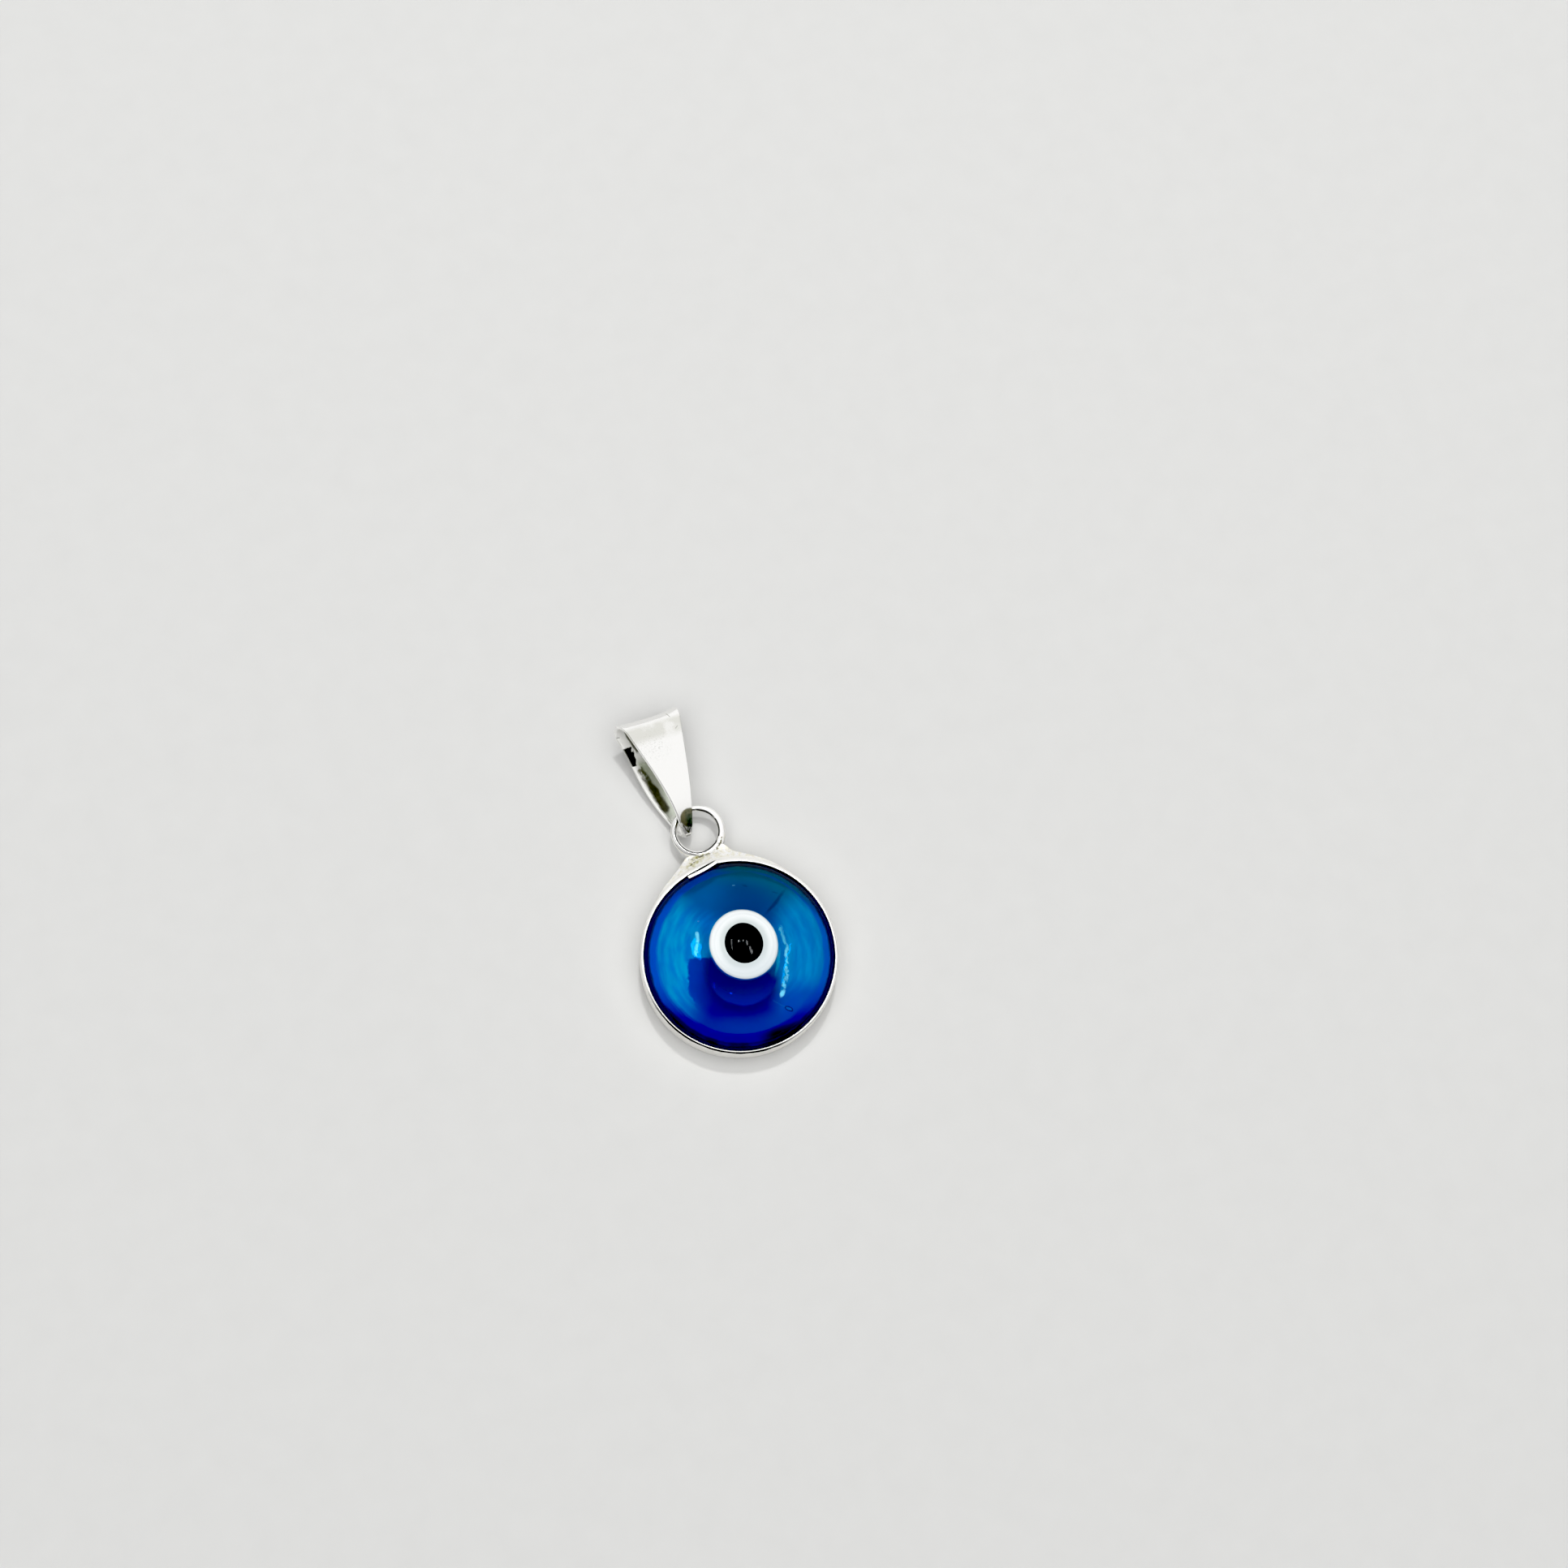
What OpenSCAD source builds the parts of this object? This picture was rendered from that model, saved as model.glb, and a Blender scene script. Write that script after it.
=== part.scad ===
// Evil-eye pendant: a domed blue glass disc with a white dot and a black pupil, held in a thin
// silver bezel that carries a soldered jump ring and a folded, tapered bail. Millimetres.
// It lies on its flat back. +Y runs from the disc to the bail and +Z points up, out of the face.
// The origin is the middle of the underside of the whole pendant's box.

/* [Glass] */
// Diameter of the glass disc at its widest, under the bezel's lip
glass_d = 12.6; // [9:0.1:18]
// Height of the dome's top above the flat back
glass_h = 3.35; // [3:0.05:4]
// Radius of the domed face
dome_r = 17.5; // [14:0.5:25]
// Radius of the round shoulder between the dome and the edge
shoulder_r = 0.7; // [0.5:0.05:0.9]
// Radius of the rounded edge at the back
back_edge_r = 0.35; // [0.2:0.05:0.5]

/* [Eye] */
// Diameter of the white dot
dot_d = 4.5; // [3.6:0.1:5.6]
// Radius of the white dot's domed top
dot_dome_r = 12; // [8:0.5:20]
// Radius of the white dot's rounded edge
dot_edge_r = 0.3; // [0.15:0.05:0.4]
// Height of the white dot above the top of the glass
dot_rise = 0.14; // [0.05:0.01:0.3]
// Depth of the white dot in the glass
dot_sink = 0.5; // [0.4:0.05:0.8]
// Diameter of the pupil
pupil_d = 2.68; // [2:0.02:3]
// Radius of the pupil's domed top
pupil_dome_r = 8; // [5:0.5:15]
// Radius of the pupil's rounded edge
pupil_edge_r = 0.2; // [0.1:0.05:0.25]
// Height of the pupil above the top of the white dot
pupil_rise = 0.05; // [0.02:0.01:0.15]
// Depth of the pupil in the white dot
pupil_sink = 0.3; // [0.25:0.05:0.4]
// Offset of the eye from the disc's middle, to the right
eye_x = 0.36; // [-1:0.02:1]
// Offset of the eye from the disc's middle, towards the ring
eye_y = 0.41; // [-1:0.01:1]

/* [Bezel] */
// Thickness of the bezel's wall
bezel_t = 0.17; // [0.12:0.01:0.4]
// Height of the bezel's front lip above the surface that the pendant lies on
bezel_top = 2.12; // [2:0.02:2.3]
// Gap between the bezel's back lip and that surface
bezel_lift = 0.03; // [0.01:0.01:0.06]
// How far each lip reaches in over the edge of the glass
lip_reach = 0.06; // [0.03:0.01:0.12]
// Radius of the rounded corners of the bezel's wall
bezel_corner_r = 0.18; // [0.1:0.01:0.2]

/* [Loose end of the bezel strip] */
// Length of the loose end
tab_l = 2.2; // [1:0.1:2.6]
// Width of the loose end
tab_w = 0.22; // [0.15:0.01:0.3]
// Height of the loose end's top above the bezel's lip
tab_rise = 0.34; // [0.3:0.01:0.5]
// Turn of its root round the disc from the ring's side, to the right
tab_at = 5; // [0:0.5:20]
// Angle by which it bends in from the rim, over the glass
tab_bend = 16.5; // [14:0.5:18]

/* [Jump ring] */
// Outer diameter of the jump ring
ring_d = 3.56; // [3.4:0.02:3.8]
// Thickness of the ring's wire across the ring
wire_w = 0.42; // [0.3:0.02:0.46]
// Thickness of the ring's wire from front to back
wire_h = 0.46; // [0.3:0.02:0.5]
// Distance from the disc's middle to the ring's middle
ring_y = 8.9; // [8.7:0.05:9.1]
// Offset of the ring to the right
ring_x = 0.1; // [-0.1:0.02:0.2]
// Height of the ring's middle above the surface
ring_z = 1.15; // [1.1:0.01:1.2]

/* [Solder] */
// Angle below the ring's middle at which the solder leaves its wire
solder_ring_angle = 48; // [40:1:54]
// Angle round the disc, from its middle line, at which the solder runs out
solder_disc_angle = 42; // [30:1:45]
// Hollow of the solder's left flank
solder_left_hollow = 0.12; // [0.05:0.01:0.3]
// Hollow of the solder's right flank
solder_right_hollow = 0.22; // [0.05:0.01:0.4]
// Hollow of the solder's front and back
solder_face_hollow = 0.12; // [0.05:0.01:0.2]
// Height of the solder where it meets the bezel
solder_root_h = 1.7; // [1:0.05:1.8]

/* [Bail] */
// Length of the bail from its tip to its fold
bail_l = 8.48; // [7.6:0.02:9.4]
// Width of the bail at the fold
fold_w = 4.54; // [3.6:0.02:5]
// Width of the bail near its tip
tip_w = 0.66; // [0.56:0.02:0.8]
// How sharply the width grows towards the fold, 1 for straight sides
flare = 1.2; // [1:0.02:1.6]
// Thickness of the sheet
sheet_t = 0.24; // [0.18:0.01:0.28]
// Outer radius of the round fold that the chain runs through
fold_r = 0.97; // [0.8:0.01:1.1]
// Outer radius of the closed tip
tip_r = 0.42; // [0.36:0.02:0.6]
// Slope at which the two plates part from the tip
tip_slope = 26; // [24:1:30]
// Slope at which they close towards the fold
fold_slope = 4; // [2:1:10]

/* [How the bail lies] */
// Offset of the bail's middle line from the disc's middle, to the left
bail_x = -0.68; // [-0.72:0.02:-0.6]
// Distance from the tip of the bail down to the ring's middle
tip_drop = 0.14; // [0.1:0.01:0.2]
// Height of the tip's middle above the surface
tip_z = 0.94; // [0.92:0.01:0.96]
// Roll of the bail, with its right side down
bail_roll = 21; // [18:0.5:21]
// Rise of the bail's middle line towards the fold
bail_pitch = 9.3; // [9.3:0.1:10]
// Turn of the bail to the left, seen from above
bail_turn = 1.8; // [0:0.1:2.4]

/* [Hidden] */

// Gap between pieces that are set into each other
gap = 0.03;
// Extra length of a cutter past what it cuts
over = 1;
// Number of steps on an outline's curves
arc_steps = 10;
side_steps = 16;
$fn = 96;

glass_r = glass_d / 2;
bezel_r = glass_r + gap + bezel_t;
lip_r = glass_r - lip_reach;
dot_top = glass_h + dot_rise;
pupil_top = dot_top + pupil_rise;
dome_centre_z = glass_h - dome_r;
wire_r = ring_d / 2 - wire_w / 2;

// The disc's middle lies below the origin, so that the whole pendant is centred on it
fold_reach = (bail_l - fold_r) * cos(bail_pitch) + fold_r;
fold_side = fold_w / 2 * cos(bail_roll);
fold_dip = fold_w / 2 * sin(bail_roll) * sin(bail_pitch);
pendant_top = ring_y - tip_drop + (fold_reach + fold_dip) * cos(bail_turn) + fold_side * sin(bail_turn);
disc_y = (bezel_r - pendant_top) / 2;

// Points on an arc about c, from angle a to angle b
function arc(c, r, a, b, steps = arc_steps) =
    [for (i = [0 : steps]) let (t = a + (b - a) * i / steps) c + r * [cos(t), sin(t)]];

// A point of a cubic curve with the four control points p
function curve_point(p, t) =
    pow(1 - t, 3) * p[0] + 3 * t * pow(1 - t, 2) * p[1]
    + 3 * pow(t, 2) * (1 - t) * p[2] + pow(t, 3) * p[3];

// Points of a shallow arc from p to q that bows to the left of that line by sag
function bow(p, q, sag, steps = arc_steps) =
    let (
        chord = norm(q - p),
        r = (pow(chord / 2, 2) + pow(sag, 2)) / (2 * sag),
        along = (q - p) / chord,
        left = [-along[1], along[0]],
        c = (p + q) / 2 + left * (sag - r),
        half = asin(chord / 2 / r)
    )
    [for (i = [0 : steps])
        let (t = -half + 2 * half * i / steps) c + r * (left * cos(t) + along * sin(t))];

// Half outline of a domed disc, all round its axis, with every face moved out by grow
function disc_outline(r, top, bottom, dome, edge, back, grow) =
    let (
        dome_c = [0, top - dome],
        edge_x = r - edge,
        turn = asin(edge_x / (dome - edge)),
        edge_c = dome_c + (dome - edge) * [sin(turn), cos(turn)],
        back_c = [r - back, bottom + back]
    )
    concat(
        [[0, bottom - grow]],
        arc(back_c, back + grow, -90, 0),
        arc(edge_c, edge + grow, 0, 90 - turn),
        arc(dome_c, dome + grow, 90 - turn, 90)
    );

module domed_disc(r, top, bottom, dome, edge, back, grow) {
    rotate_extrude()
        polygon(disc_outline(r, top, bottom, dome, edge, back, grow));
}

module glass_form(grow = 0) {
    domed_disc(glass_r, glass_h, 0, dome_r, shoulder_r, back_edge_r, grow);
}

module white_form(grow = 0) {
    domed_disc(dot_d / 2, dot_top, glass_h - dot_sink, dot_dome_r, dot_edge_r, dot_edge_r / 2, grow);
}

module pupil_form(grow = 0) {
    domed_disc(pupil_d / 2, pupil_top, dot_top - pupil_sink, pupil_dome_r, pupil_edge_r,
        pupil_edge_r / 2, grow);
}

// Puts a shape from the dome's top to the eye's place, square to the dome there
module at_eye() {
    turn_x = -asin(eye_y / dome_r);
    turn_y = asin(eye_x / dome_r);
    translate([0, 0, dome_centre_z])
        rotate([turn_x, turn_y, 0])
            translate([0, 0, -dome_centre_z])
                children();
}

// The strip's wall before the glass is cut out of it
module bezel_wall() {
    inner = [lip_r, bezel_lift + bezel_corner_r];
    lower = [bezel_r - bezel_corner_r, bezel_lift + bezel_corner_r];
    upper = [bezel_r - bezel_corner_r, bezel_top - bezel_corner_r];
    rotate_extrude()
        polygon(concat(
            [[inner[0], bezel_lift]],
            arc(lower, bezel_corner_r, -90, 0),
            arc(upper, bezel_corner_r, 0, 90),
            [[inner[0], bezel_top]]
        ));
}

// The strip's loose end, a straight tab that leaves the lip and bends in over the glass
module loose_end() {
    top = bezel_top + tab_rise;
    depth = tab_rise + bezel_corner_r;
    rotate([0, 0, -tab_at])
        translate([0, lip_r + tab_w / 2, top - depth])
            rotate([0, 0, tab_bend])
                translate([-tab_l, -tab_w / 2, 0])
                    cube([tab_l, tab_w, depth]);
}

module jump_ring() {
    translate([ring_x, ring_y, ring_z])
        rotate_extrude()
            translate([wire_r, 0])
                intersection() {
                    circle(d = wire_h);
                    square([wire_w, wire_h + over], center = true);
                }
}

// The wedge of solder between the ring and the bezel: its plan cut to a hollow-faced band that
// runs round the disc
module solder() {
    ring_c = [ring_x, ring_y];
    reach = ring_d / 2 - wire_w / 4;
    right_top = ring_c + reach * [cos(solder_ring_angle), -sin(solder_ring_angle)];
    left_top = ring_c + reach * [-cos(solder_ring_angle), -sin(solder_ring_angle)];
    foot_r = bezel_r - bezel_t / 2;
    right_foot = foot_r * [sin(solder_disc_angle), cos(solder_disc_angle)];
    left_foot = foot_r * [-sin(solder_disc_angle), cos(solder_disc_angle)];
    root_half = solder_root_h / 2;
    crest_half = wire_h / 2;
    crest_r = ring_y - wire_r;
    rim_r = norm(right_top) + over;
    intersection() {
        linear_extrude(height = bezel_top)
            polygon(concat(
                bow(left_top, left_foot, solder_left_hollow),
                [[0, left_foot[1]]],
                bow(right_foot, right_top, solder_right_hollow),
                arc(ring_c, wire_r, -solder_ring_angle, solder_ring_angle - 180)
            ));
        rotate_extrude()
            polygon(concat(
                [[foot_r, ring_z - root_half]],
                bow([bezel_r, ring_z - root_half], [crest_r, ring_z - crest_half], solder_face_hollow),
                [[rim_r, ring_z - crest_half]],
                [[rim_r, ring_z + crest_half]],
                bow([crest_r, ring_z + crest_half], [bezel_r, ring_z + root_half], solder_face_hollow),
                [[foot_r, ring_z + root_half]]
            ));
    }
}

// Side outline of the folded sheet along its length, with every face moved in by inset
function side_outline(inset) =
    let (
        tip_c = [tip_r, 0],
        fold_c = [bail_l - fold_r, 0],
        tip_a = 90 + tip_slope,
        fold_a = 90 - fold_slope,
        a = tip_c + (tip_r - inset) * [cos(tip_a), sin(tip_a)],
        b = fold_c + (fold_r - inset) * [cos(fold_a), sin(fold_a)],
        reach = bail_l * 0.35,
        side = [a, a + reach * [cos(tip_slope), sin(tip_slope)],
                b - reach * [cos(fold_slope), -sin(fold_slope)], b]
    )
    concat(
        arc(tip_c, tip_r - inset, 360 - tip_a, tip_a),
        [for (i = [1 : side_steps - 1]) curve_point(side, i / side_steps)],
        arc(fold_c, fold_r - inset, fold_a, -fold_a),
        [for (i = [1 : side_steps - 1])
            let (p = curve_point(side, 1 - i / side_steps)) [p[0], -p[1]]]
    );

function bail_half_width(s) = (tip_w + (fold_w - tip_w) * pow(s / bail_l, flare)) / 2;

// The bail seen from the front, with its tip at the origin and its fold along +Y
module bail_plan() {
    steps = side_steps;
    tip_half = bail_half_width(tip_r);
    right = [for (i = [0 : steps])
        let (s = tip_half + (bail_l + over - tip_half) * i / steps) [bail_half_width(s), s]];
    left = [for (i = [0 : steps]) [-right[steps - i][0], right[steps - i][1]]];
    polygon(concat(
        right,
        left,
        arc([0, tip_half], bail_half_width(tip_half), 180, 360)
    ));
}

module folded_sheet() {
    intersection() {
        translate([0, 0, -over - fold_r * 2])
            linear_extrude(height = 2 * over + 4 * fold_r)
                bail_plan();
        rotate([90, 0, 90])
            linear_extrude(height = 2 * fold_w, center = true)
                difference() {
                    polygon(side_outline(0));
                    polygon(side_outline(sheet_t));
                }
    }
}

module glass() {
    color([0.02, 0.2, 0.75, 0.8])
        translate([0, disc_y, 0])
            difference() {
                glass_form();
                at_eye() white_form(gap);
            }
}

module white_dot() {
    color([0.92, 0.93, 0.9])
        translate([0, disc_y, 0])
            at_eye()
                difference() {
                    white_form();
                    pupil_form(gap);
                }
}

module pupil() {
    color([0.02, 0.02, 0.02])
        translate([0, disc_y, 0])
            at_eye()
                pupil_form();
}

module bezel() {
    color([0.88, 0.88, 0.86])
        translate([0, disc_y, 0])
            difference() {
                union() {
                    bezel_wall();
                    loose_end();
                    jump_ring();
                    solder();
                }
                glass_form(gap);
            }
}

module bail() {
    color([0.92, 0.92, 0.9])
        translate([bail_x, disc_y + ring_y - tip_drop, tip_z])
            rotate([bail_pitch, 0, bail_turn])
                rotate([0, bail_roll, 0])
                    folded_sheet();
}

bezel();
glass();
white_dot();
pupil();
bail();
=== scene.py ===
"""A small evil-eye pendant lying on its back: blue glass, silver bezel, jump ring and folded bail."""
import functools
import math

import bmesh
import bpy
from mathutils import Matrix, Vector, noise


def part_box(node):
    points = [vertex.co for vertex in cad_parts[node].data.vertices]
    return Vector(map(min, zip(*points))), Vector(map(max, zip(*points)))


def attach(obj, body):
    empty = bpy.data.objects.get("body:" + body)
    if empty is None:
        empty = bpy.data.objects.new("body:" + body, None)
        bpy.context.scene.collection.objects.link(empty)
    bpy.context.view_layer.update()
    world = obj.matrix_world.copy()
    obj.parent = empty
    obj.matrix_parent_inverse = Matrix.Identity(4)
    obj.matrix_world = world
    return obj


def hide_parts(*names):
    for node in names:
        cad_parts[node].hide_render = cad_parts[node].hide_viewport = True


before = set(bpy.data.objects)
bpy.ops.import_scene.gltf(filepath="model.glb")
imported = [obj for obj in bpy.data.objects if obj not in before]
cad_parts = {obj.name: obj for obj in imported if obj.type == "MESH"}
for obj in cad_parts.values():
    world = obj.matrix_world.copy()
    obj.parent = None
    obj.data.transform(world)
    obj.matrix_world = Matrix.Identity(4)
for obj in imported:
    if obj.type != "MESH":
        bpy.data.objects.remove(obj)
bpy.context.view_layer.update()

# Every length below is in millimetres. A finished mesh is scaled to metres once.
MM = 0.001

# Sizes, as in the part's source
GLASS_R, GLASS_TOP = 6.3, 3.35
DOME_R, SHOULDER_R, BACK_EDGE_R = 17.5, 0.7, 0.35
DOT_R, DOT_TOP, DOT_BOTTOM, DOT_DOME_R, DOT_EDGE_R = 2.25, 3.49, 2.85, 12.0, 0.3
PUPIL_R, PUPIL_TOP, PUPIL_BOTTOM, PUPIL_DOME_R, PUPIL_EDGE_R = 1.34, 3.54, 3.19, 8.0, 0.2
EYE_X, EYE_Y = 0.36, 0.41
BEZEL_R, BEZEL_TOP, BEZEL_LIFT, BEZEL_CORNER_R, LIP_R, SETTING_GAP = 6.5, 2.12, 0.03, 0.18, 6.24, 0.03
TAB_L, TAB_W, TAB_RISE, TAB_AT, TAB_BEND = 2.2, 0.22, 0.34, 5.0, 16.5
RING_X, RING_Y, RING_Z, RING_WIRE_R, WIRE_W, WIRE_H = 0.1, 8.9, 1.15, 1.57, 0.42, 0.46
BAIL_L, FOLD_W, TIP_W, FLARE, SHEET_T = 8.48, 4.54, 0.66, 1.2, 0.24
FOLD_R, TIP_R, TIP_SLOPE, FOLD_SLOPE = 0.97, 0.42, 26.0, 4.0
BAIL_X, TIP_DROP, TIP_Z = -0.68, 0.14, 0.94
BAIL_ROLL, BAIL_PITCH, BAIL_TURN = 21.0, 9.3, 1.8
TIP_ROUND = 0.6

# Small forms that only these meshes have
HOLLOW_DEPTH, LUMP_DEPTH, DOME_WAVE, DOME_FROM = 0.02, 0.006, 0.006, 2.2
# The drops are longer than wide in the picture: how much they grow across it and along it, and their lift
WHITE_GROW, WHITE_LIFT = (1.02, 1.045), 0.04
PUPIL_GROW, PUPIL_LIFT = (1.01, 1.07), 0.07
DROP_WAVE, DROP_RINGS = 0.006, 0.004
LIP_EDGE_R = 0.03
RING_SEAM_AT, RING_SEAM_DEPTH, RING_SEAM_HALF = -52.0, 0.12, 3.0
TAB_EDGE_R, TAB_BOW, TAB_DIP = 0.035, 0.05, 0.05
SHEET_EDGE_R, FOLD_LIFT, FOLD_DIP, BACK_BULGE, BULGE_L = 0.05, 0.16, 0.06, 0.16, 7.4

# The disc's middle is half a bezel's width in from the lowest y of the whole part
DISC_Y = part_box("bezel")[0].y / MM + BEZEL_R


def radians(*angles):
    return [math.radians(a) for a in angles]


# Camera
def aim(thing, place, target, up):
    """Puts a camera or a light at a place, looking at a target."""
    forward = (Vector(target) - Vector(place)).normalized()
    right = forward.cross(Vector(up)).normalized()
    turned = Matrix((right, right.cross(forward), -forward)).transposed().to_4x4()
    thing.matrix_world = Matrix.Translation(Vector(place) * MM) @ turned


CAMERA_PLACE = (-15.53, DISC_Y - 20.911, 149.221)
CAMERA_TARGET = (6.8085, DISC_Y + 10.4543, 0.0)
PICTURE_UP = Vector((0.29722, 0.92446, 0.23881))
PICTURE_RIGHT = Vector((0.94374, -0.32241, 0.07351))
FLAT_RIGHT = Vector((PICTURE_RIGHT.x, PICTURE_RIGHT.y, 0)).normalized()
FLAT_UP = Vector((PICTURE_UP.x, PICTURE_UP.y, 0)).normalized()

camera_data = bpy.data.cameras.new("camera")
camera_data.lens, camera_data.sensor_width = 52.316, 36.0
camera_data.clip_start, camera_data.clip_end = 0.005, 5.0
camera = bpy.data.objects.new("camera", camera_data)
bpy.context.scene.collection.objects.link(camera)
bpy.context.scene.camera = camera
aim(camera, CAMERA_PLACE, CAMERA_TARGET, PICTURE_UP)


# Shader maths
class Value:
    """A number or a pattern in a material, which takes part in plain arithmetic."""

    def __init__(self, recipe, socket):
        self.recipe, self.socket = recipe, socket

    def maths(self, operation, *others, clamp=False):
        node = self.recipe.node("ShaderNodeMath", {"operation": operation, "use_clamp": clamp},
                                dict(enumerate((self, *others))))
        return Value(self.recipe, node.outputs[0])

    def __add__(self, other):
        return self.maths("ADD", other)

    def __sub__(self, other):
        return self.maths("SUBTRACT", other)

    def __rsub__(self, other):
        node = self.recipe.node("ShaderNodeMath", {"operation": "SUBTRACT"}, {0: other, 1: self})
        return Value(self.recipe, node.outputs[0])

    def __mul__(self, other):
        return self.maths("MULTIPLY", other)

    def __truediv__(self, other):
        return self.maths("DIVIDE", other)

    def __pow__(self, other):
        return self.maths("POWER", other)

    __radd__ = __add__
    __rmul__ = __mul__

    def size(self):
        return self.maths("ABSOLUTE")

    def clamped(self):
        return self.maths("ADD", 0.0, clamp=True)

    def step(self, low, high):
        """0 below low and 1 above high, with a smooth slope between. low may be the larger."""
        node = self.recipe.node("ShaderNodeMapRange", {"interpolation_type": "SMOOTHSTEP"},
                                {"Value": self, "From Min": low, "From Max": high})
        return Value(self.recipe, node.outputs[0])


class Recipe:
    """The nodes of one material or of the studio's surroundings."""

    def __init__(self, owner):
        self.owner = owner
        owner.use_nodes = True
        self.tree = owner.node_tree
        self.tree.nodes.clear()

    def node(self, kind, settings=None, sockets=None):
        made = self.tree.nodes.new(kind)
        for name, value in (settings or {}).items():
            setattr(made, name, value)
        for name, value in (sockets or {}).items():
            socket = made.inputs[name]
            if isinstance(value, Value):
                self.tree.links.new(value.socket, socket)
            elif hasattr(value, "is_output"):
                self.tree.links.new(value, socket)
            else:
                socket.default_value = value
        return made

    def value(self, kind, settings=None, sockets=None, output=0):
        """The same, as a value for arithmetic."""
        return Value(self, self.node(kind, settings, sockets).outputs[output])

    def place(self, shift=(0, 0, 0), turn=(0, 0, 0), stretch=(1, 1, 1)):
        """A spot on the piece in millimetres, moved by shift, then turned, then stretched."""
        spot = self.node("ShaderNodeTexCoord").outputs["Object"]
        in_mm = self.node("ShaderNodeMapping", {"vector_type": "POINT"},
                          {"Vector": spot, "Location": tuple(shift), "Scale": (1 / MM,) * 3})
        turned = self.node("ShaderNodeMapping", {"vector_type": "POINT"},
                           {"Vector": in_mm.outputs[0], "Rotation": tuple(radians(*turn))})
        if tuple(stretch) == (1, 1, 1):
            return turned.outputs[0]
        return self.node("ShaderNodeMapping", {"vector_type": "POINT"},
                         {"Vector": turned.outputs[0], "Scale": tuple(stretch)}).outputs[0]

    def parts(self, vector):
        node = self.node("ShaderNodeSeparateXYZ", None, {0: vector})
        return [Value(self, s) for s in node.outputs]

    def speckle(self, vector, scale, detail=2.0, rough=0.5):
        return self.value("ShaderNodeTexNoise", {"noise_dimensions": "3D"}, {
            "Vector": vector, "Scale": scale, "Detail": detail, "Roughness": rough})

    def mix(self, share, first, second):
        """Two colours mixed by a share from 0 to 1."""
        node = self.node("ShaderNodeMix", {"data_type": "RGBA", "clamp_factor": True})
        for socket, value in zip((node.inputs[0], node.inputs[6], node.inputs[7]), (share, first, second)):
            if isinstance(value, Value):
                self.tree.links.new(value.socket, socket)
            elif isinstance(value, (int, float)):
                socket.default_value = value
            else:
                socket.default_value = (*value, 1.0)
        return Value(self, node.outputs[2])

    def bump(self, height, strength, depth, onto=None):
        sockets = {"Height": height, "Strength": strength, "Distance": depth * MM}
        if onto is not None:
            sockets["Normal"] = onto
        return self.value("ShaderNodeBump", None, sockets)

    def shader(self, **sockets):
        """A Principled shader, with its sockets by name."""
        named = {name.replace("_", " "): value for name, value in sockets.items()}
        return self.node("ShaderNodeBsdfPrincipled", None, named).outputs[0]

    def oval(self, u, v, at, size, soft, turn=0.0):
        """1 inside an oval and 0 outside it. soft is the width of its edge as a share of its size."""
        cos, sin = math.cos(math.radians(turn)), math.sin(math.radians(turn))
        along = ((u - at[0]) * cos + (v - at[1]) * sin) / size[0]
        across = ((v - at[1]) * cos - (u - at[0]) * sin) / size[1]
        return ((along * along + across * across) ** 0.5).step(1 + soft / 2, 1 - soft / 2)

    def stroke(self, u, v, start, end, width):
        """1 along a straight stroke and 0 beside it, with soft sides. width is its half width."""
        run = (end[0] - start[0], end[1] - start[1])
        length = math.hypot(*run)
        share = (((u - start[0]) * run[0] + (v - start[1]) * run[1]) / length ** 2).clamped()
        off_u, off_v = u - start[0] - share * run[0], v - start[1] - share * run[1]
        return ((off_u * off_u + off_v * off_v) ** 0.5).step(width, width * 0.4)

    def finish(self, **sockets):
        return self.node("ShaderNodeOutputMaterial", None, {"Surface": self.shader(**sockets)})


def material(name):
    return Recipe(bpy.data.materials.new(name))


# Shapes
def arc(centre, radius, start, end, steps=12):
    """Points of an arc, from one angle to another in degrees."""
    turns = [math.radians(start + (end - start) * i / steps) for i in range(steps + 1)]
    return [(centre[0] + radius * math.cos(t), centre[1] + radius * math.sin(t)) for t in turns]


def line(a, b, steps):
    """Points between a and b, with both left out."""
    return [(a[0] + (b[0] - a[0]) * i / steps, a[1] + (b[1] - a[1]) * i / steps) for i in range(1, steps)]


def ease(x, low, high):
    """0 at low and 1 at high, with a smooth slope between."""
    t = min(1.0, max(0.0, (x - low) / (high - low)))
    return t * t * (3 - 2 * t)


def through(stops, x):
    """A value that runs straight from stop to stop, each a place and its value."""
    if x <= stops[0][0]:
        return stops[0][1]
    for (a, low), (b, high) in zip(stops, stops[1:]):
        if x <= b:
            return low + (high - low) * (x - a) / (b - a)
    return stops[-1][1]


def ripple(x, y, z, scale, seed):
    """A smooth random height from -1 to 1."""
    return noise.noise(Vector((x * scale + seed, y * scale - seed, z * scale + 2.7 * seed)))


SECTORS = 8


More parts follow.
